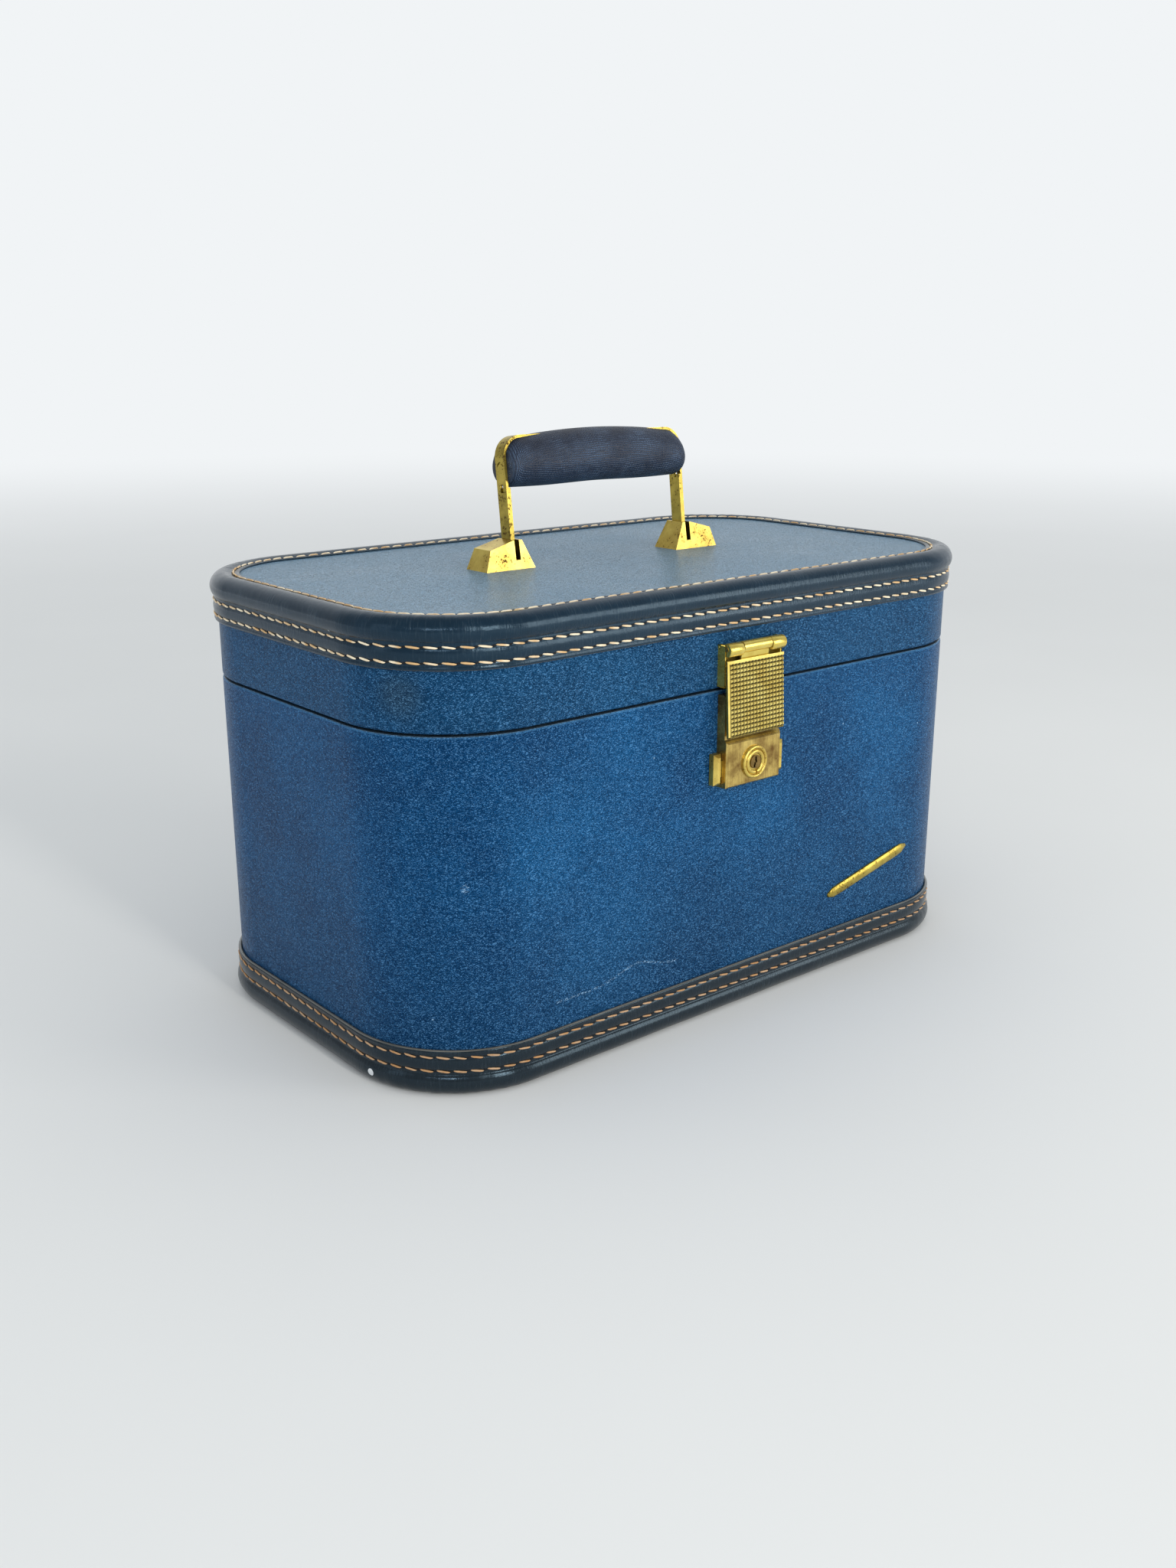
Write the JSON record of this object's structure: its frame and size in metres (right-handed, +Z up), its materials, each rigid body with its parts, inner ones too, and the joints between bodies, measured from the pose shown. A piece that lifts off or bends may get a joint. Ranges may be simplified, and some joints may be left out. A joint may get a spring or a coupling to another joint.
{
  "type": "makeup train case",
  "caption": "Hard-sided makeup train case with a hinged lid, swing handle, hasp lock with side slides, lid mirror and lift-up tray.",
  "frame": {"origin": "middle of the flat ring under the bottom welt, which the case stands on", "axes": "+X to the right seen from the front, +Z up; the front with the lock faces -Y"},
  "size_m": [0.3356, 0.1997, 0.2473],
  "materials": {
    "board": "pressed board under the skin",
    "blue_vinyl": "fine pebbled coated cloth, satin",
    "binding_leather": "smooth dark blue coated binding, soft sheen",
    "grip_leather": "dark blue leather with a fine crossed emboss",
    "lining": "woven lining, low sheen",
    "brass": "plated, pitted with age",
    "aged_brass": "brown tarnish on plate",
    "thread": "waxed linen stitching",
    "mirror": "plain silvered glass",
    "tray_plastic": "pale blue moulded plastic"
  },
  "bodies": {
    "base": {"base_shell": "board", "base_cover": "blue_vinyl", "base_binding": "binding_leather", "base_lining": "lining", "base_collar": "lining", "tray_rest_left": "lining", "tray_rest_right": "lining", "lock_body": "aged_brass", "key_collar": "brass", "hinge_base_leaf_left": "brass", "hinge_base_leaf_right": "brass", "hinge_pin_left": "aged_brass", "hinge_pin_right": "aged_brass"},
    "lid": {"lid_shell": "board", "lid_cover": "blue_vinyl", "lid_binding": "binding_leather", "lid_lining": "lining", "mirror": "mirror", "mirror_frame": "brass", "lock_bracket": "aged_brass", "hasp_pin": "aged_brass", "foot_left": "brass", "foot_right": "brass", "foot_pin_left": "aged_brass", "foot_pin_right": "aged_brass", "hinge_lid_leaf_left": "brass", "hinge_lid_leaf_right": "brass"},
    "handle": {"bail": "brass", "arm_strip_left": "brass", "arm_strip_right": "brass", "grip": "grip_leather"},
    "hasp": {"hasp_leaf": "brass", "hasp_face": "brass"},
    "slide_left": {"slide_left": "brass"},
    "slide_right": {"slide_right": "brass"},
    "key_plug": {"key_plug": "aged_brass"},
    "tray": {"tray": "tray_plastic", "tray_tab_left": "brass", "tray_tab_right": "brass"}
  },
  "joints": [
    {"name": "lid_hinge", "type": "hinge", "parent": "base", "child": "lid", "pos_m": [0, 0.0961, 0.1465], "axis": [-1, 0, 0], "range_deg": [0, 95]},
    {"name": "handle_swing", "type": "hinge", "parent": "lid", "child": "handle", "pos_m": [0, 0.0028, 0.1969], "axis": [1, 0, 0], "range_deg": [-77, 90]},
    {"name": "hasp_swing", "type": "hinge", "parent": "lid", "child": "hasp", "pos_m": [0, -0.0981, 0.164], "axis": [-1, 0, 0], "range_deg": [0, 150]},
    {"name": "slide_left_travel", "type": "slide", "parent": "base", "child": "slide_left", "axis": [-1, 0, 0], "range_m": [0, 0.004], "stiffness_N_per_m": 150},
    {"name": "slide_right_travel", "type": "slide", "parent": "base", "child": "slide_right", "axis": [1, 0, 0], "range_m": [0, 0.004], "stiffness_N_per_m": 150},
    {"name": "key_turn", "type": "hinge", "parent": "base", "child": "key_plug", "pos_m": [0, -0.0998, 0.114], "axis": [0, 1, 0], "range_deg": [0, 90]},
    {"name": "tray_lift", "type": "slide", "parent": "base", "child": "tray", "axis": [0, 0, 1], "range_m": [0, 0.03]}
  ]
}
